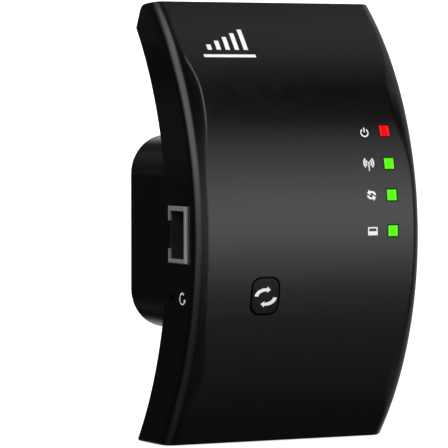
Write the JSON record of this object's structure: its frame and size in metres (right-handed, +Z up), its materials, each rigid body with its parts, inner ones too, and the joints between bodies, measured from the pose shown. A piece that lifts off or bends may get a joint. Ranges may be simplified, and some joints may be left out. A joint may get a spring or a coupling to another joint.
{
  "type": "wifi range extender",
  "caption": "Plug-in wireless range extender with a bowed casing, side network socket, pairing button, reset hole, status lights and a two-pin plug block.",
  "frame": {"origin": "centre of the plug block's back face, which meets the wall socket", "axes": "+Y points into the socket along the pins, +Z is up, +X is to the right seen from the front, which faces -Y"},
  "size_m": [0.0637, 0.0689, 0.11],
  "materials": {
    "case_black": "satin moulded black",
    "button_black": "satin moulded black",
    "carrier_black": "fine texture",
    "pin_metal": "nickel plated",
    "label_grey": "plain sticker",
    "screw_steel": "zinc plated",
    "board_green": "solder mask",
    "power_board_tan": "bare laminate",
    "chip_black": "moulded package",
    "can_metal": "tinned",
    "capacitor_sleeve": "shrunk sleeve",
    "capacitor_can": "drawn can",
    "jack_black": "moulded",
    "jack_metal": "tinned sheet",
    "contact_gold": "gold flashed",
    "switch_black": "moulded",
    "plunger_white": "moulded",
    "light_red": "clear, lit red",
    "light_green": "clear, lit green",
    "shroud_black": "moulded",
    "led_white": "clear resin",
    "coax_grey": "extruded",
    "lead_red": "extruded",
    "header_white": "moulded nylon",
    "ferrite": "sintered",
    "winding_tape": "polyester tape",
    "resistor_body": "lacquer",
    "disc_blue": "dipped",
    "print_white": "pad-printed ink"
  },
  "bodies": {
    "root": {"front_cover": "case_black", "rear_cover": "case_black", "pin_carrier": "carrier_black", "plug_pin_left": "pin_metal", "plug_pin_right": "pin_metal", "pin_sleeve_left": "carrier_black", "pin_sleeve_right": "carrier_black", "rating_label": "label_grey", "case_screws": "screw_steel", "board_screws": "screw_steel", "power_screws": "screw_steel", "main_board": "board_green", "processor": "chip_black", "memory_chip": "chip_black", "flash_chip": "chip_black", "network_transformer": "chip_black", "radio_shield_can": "can_metal", "crystal": "can_metal", "regulator": "chip_black", "power_inductor": "ferrite", "bulk_capacitor": "capacitor_can", "dc_header": "header_white", "dc_leads": "lead_red", "rj45_housing": "jack_black", "rj45_shield": "jack_metal", "rj45_contacts": "contact_gold", "pairing_switch_body": "switch_black", "pairing_switch_cover": "can_metal", "reset_switch_body": "switch_black", "light_pipe_power": "light_red", "light_pipe_wireless": "light_green", "light_pipe_sync": "light_green", "light_pipe_network": "light_green", "light_shroud": "shroud_black", "status_led_red": "led_white", "status_leds_green": "led_white", "antenna_top": "board_green", "antenna_bottom": "board_green", "antenna_lead_top": "coax_grey", "antenna_lead_bottom": "coax_grey", "coax_sockets": "contact_gold", "power_board": "power_board_tan", "input_capacitors": "capacitor_sleeve", "output_capacitors": "capacitor_sleeve", "choke": "ferrite", "fuse_resistor": "resistor_body", "safety_capacitor": "disc_blue", "rectifier": "chip_black", "power_controller": "chip_black", "transformer_bobbin": "switch_black", "transformer_winding": "winding_tape", "transformer_core": "ferrite"},
    "pairing_button": {"pairing_button": "button_black"},
    "pairing_plunger": {"pairing_switch_plunger": "plunger_white"},
    "reset_plunger": {"reset_switch_plunger": "plunger_white"}
  },
  "joints": [
    {"name": "pairing_button_slide", "type": "slide", "parent": "root", "child": "pairing_button", "axis": [0, 1, 0], "range_m": [0, 0.0004], "stiffness_N_per_m": 1500},
    {"name": "pairing_plunger_slide", "type": "slide", "parent": "root", "child": "pairing_plunger", "axis": [0, 1, 0], "range_m": [0, 0.0004]},
    {"name": "reset_plunger_slide", "type": "slide", "parent": "root", "child": "reset_plunger", "axis": [1, 0, 0], "range_m": [0, 0.00025], "stiffness_N_per_m": 3000}
  ],
  "couplings": [
    {"joint": "pairing_plunger_slide", "follows": "pairing_button_slide", "ratio": 1}
  ]
}
